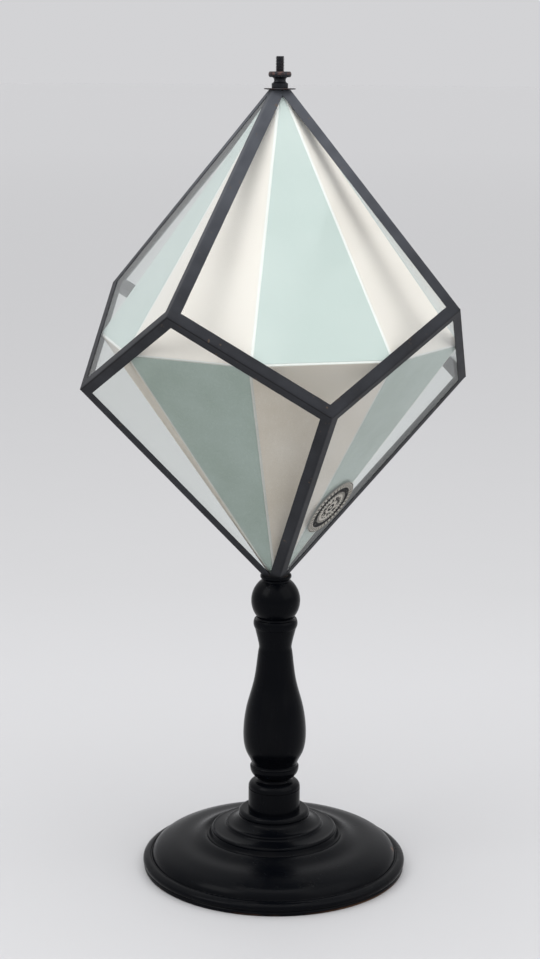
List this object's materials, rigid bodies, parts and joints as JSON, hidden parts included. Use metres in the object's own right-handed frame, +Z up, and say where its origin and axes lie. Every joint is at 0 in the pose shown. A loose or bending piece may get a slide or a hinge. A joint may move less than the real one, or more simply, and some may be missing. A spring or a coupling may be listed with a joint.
{
  "type": "glass crystal model on stand",
  "caption": "Glass crystal model of kite-shaped panes with taped edges around a two-tone card bipyramid, held by a knob nut on a rod above a turned black stand.",
  "frame": {"origin": "centre of the stand's foot, on the surface it stands on", "axes": "+Z up along the rod; four high waist corners of the crystal lie on +X, +Y, -X and -Y at rest; the labelled pane faces +X"},
  "size_m": [0.2812, 0.2812, 0.5859],
  "materials": {
    "ebonised_wood": "turned wood, ebonised, satin varnish",
    "seat_leather": "dark leather ring",
    "rod_steel": "tarnished threaded steel rod",
    "screw_steel": "dull steel",
    "pane_glass": "thin clear sheet glass",
    "cloth_tape": "charcoal bookbinding cloth tape",
    "white_card": "white card",
    "green_paper": "matte mint green paper",
    "cream_paper": "matte cream paper",
    "plug_wood": "plain softwood plug",
    "label_paper": "plain round paper label with ruled rings",
    "washer_steel": "thin tarnished steel",
    "knob_metal": "blackened turned metal, worn on the flange"
  },
  "bodies": {
    "stand": {"foot": "ebonised_wood", "column": "ebonised_wood", "seat_ring": "seat_leather", "rod": "rod_steel", "fixing_washer": "screw_steel", "fixing_screw": "screw_steel"},
    "crystal": {"pane_upper_1": "pane_glass", "pane_upper_2": "pane_glass", "pane_upper_3": "pane_glass", "pane_upper_4": "pane_glass", "pane_lower_1": "pane_glass", "pane_lower_2": "pane_glass", "pane_lower_3": "pane_glass", "pane_lower_4": "pane_glass", "tape_upper_1": "cloth_tape", "tape_upper_2": "cloth_tape", "tape_upper_3": "cloth_tape", "tape_upper_4": "cloth_tape", "tape_lower_1": "cloth_tape", "tape_lower_2": "cloth_tape", "tape_lower_3": "cloth_tape", "tape_lower_4": "cloth_tape", "tape_waist_left_1": "cloth_tape", "tape_waist_left_2": "cloth_tape", "tape_waist_left_3": "cloth_tape", "tape_waist_left_4": "cloth_tape", "tape_waist_right_1": "cloth_tape", "tape_waist_right_2": "cloth_tape", "tape_waist_right_3": "cloth_tape", "tape_waist_right_4": "cloth_tape", "card_upper": "white_card", "card_lower": "white_card", "paper_green_upper_1": "green_paper", "paper_green_upper_2": "green_paper", "paper_green_upper_3": "green_paper", "paper_green_upper_4": "green_paper", "paper_green_lower_1": "green_paper", "paper_green_lower_2": "green_paper", "paper_green_lower_3": "green_paper", "paper_green_lower_4": "green_paper", "paper_cream_upper_1": "cream_paper", "paper_cream_upper_2": "cream_paper", "paper_cream_upper_3": "cream_paper", "paper_cream_upper_4": "cream_paper", "paper_cream_lower_1": "cream_paper", "paper_cream_lower_2": "cream_paper", "paper_cream_lower_3": "cream_paper", "paper_cream_lower_4": "cream_paper", "plug_upper": "plug_wood", "plug_lower": "plug_wood", "round_label": "label_paper"},
    "washer": {"clamp_washer": "washer_steel"},
    "knob": {"knob_nut": "knob_metal"}
  },
  "joints": [
    {"name": "crystal_turn", "type": "hinge", "parent": "stand", "child": "crystal", "pos_m": [0, 0, 0.3915], "axis": [0, 0, 1], "continuous": true},
    {"name": "washer_lift", "type": "slide", "parent": "stand", "child": "washer", "axis": [0, 0, 1], "range_m": [0, 0.0219]},
    {"name": "knob_turn", "type": "hinge", "parent": "washer", "child": "knob", "pos_m": [0, 0, 0.5698], "axis": [0, 0, 1], "range_deg": [0, 7884]}
  ],
  "couplings": [
    {"joint": "knob_turn", "follows": "washer_lift", "rad_per_m": 6283.2}
  ]
}
